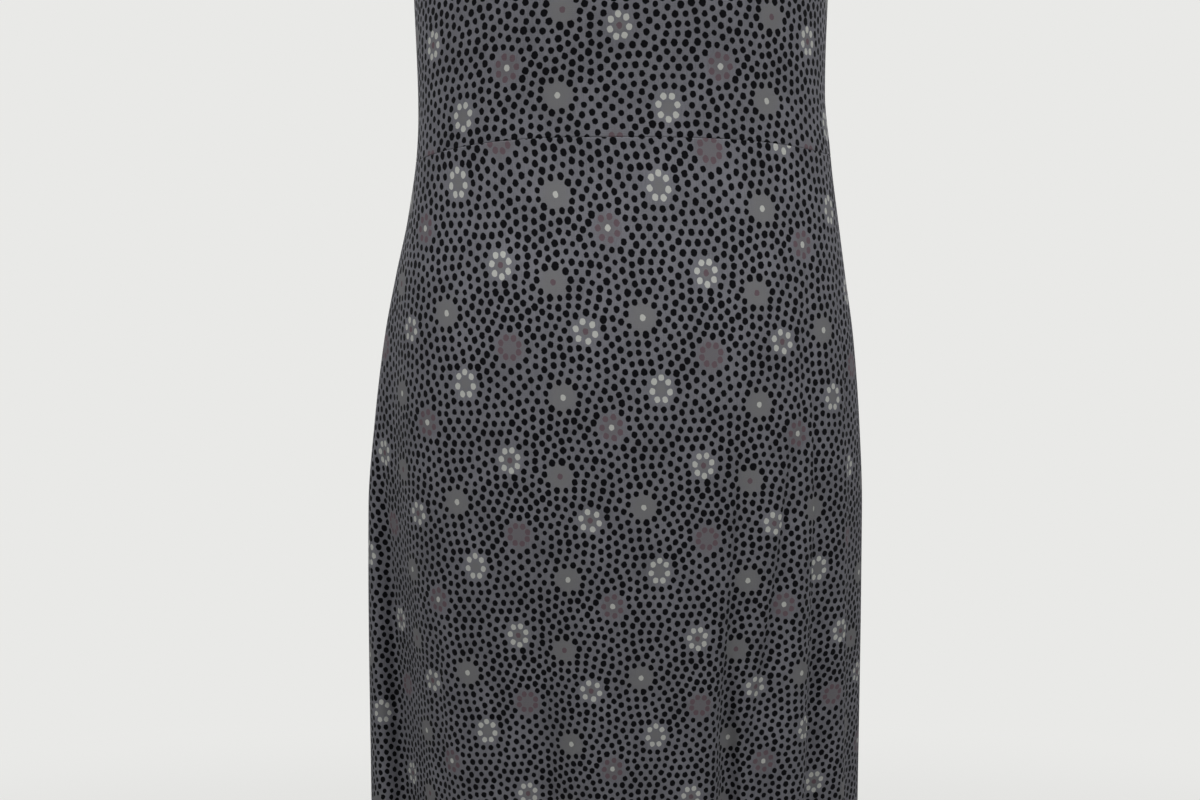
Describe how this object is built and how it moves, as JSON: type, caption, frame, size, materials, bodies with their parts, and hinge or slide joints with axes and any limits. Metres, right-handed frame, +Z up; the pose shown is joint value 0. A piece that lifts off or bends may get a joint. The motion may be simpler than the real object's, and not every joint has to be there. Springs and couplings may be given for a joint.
{
  "type": "tank dress",
  "caption": "Sleeveless knee-length jersey dress with scooped neck, waist seam and straight skirt in soft folds, in its worn, hollow form, printed with dots and ring flowers.",
  "frame": {"origin": "between the two shoulder straps, at the height at which they rest on the wearer's shoulders", "axes": "+Z up along the body, -Y out of the front of the dress, +X towards the wearer's left side"},
  "size_m": [0.3515, 0.2467, 1.0382],
  "materials": {
    "printed_jersey": "matt fine jersey, grey with a black dot and ring-flower print"
  },
  "bodies": {
    "root": {"front_bodice": "printed_jersey", "back_bodice": "printed_jersey", "front_skirt": "printed_jersey", "back_skirt": "printed_jersey"}
  },
  "joints": []
}
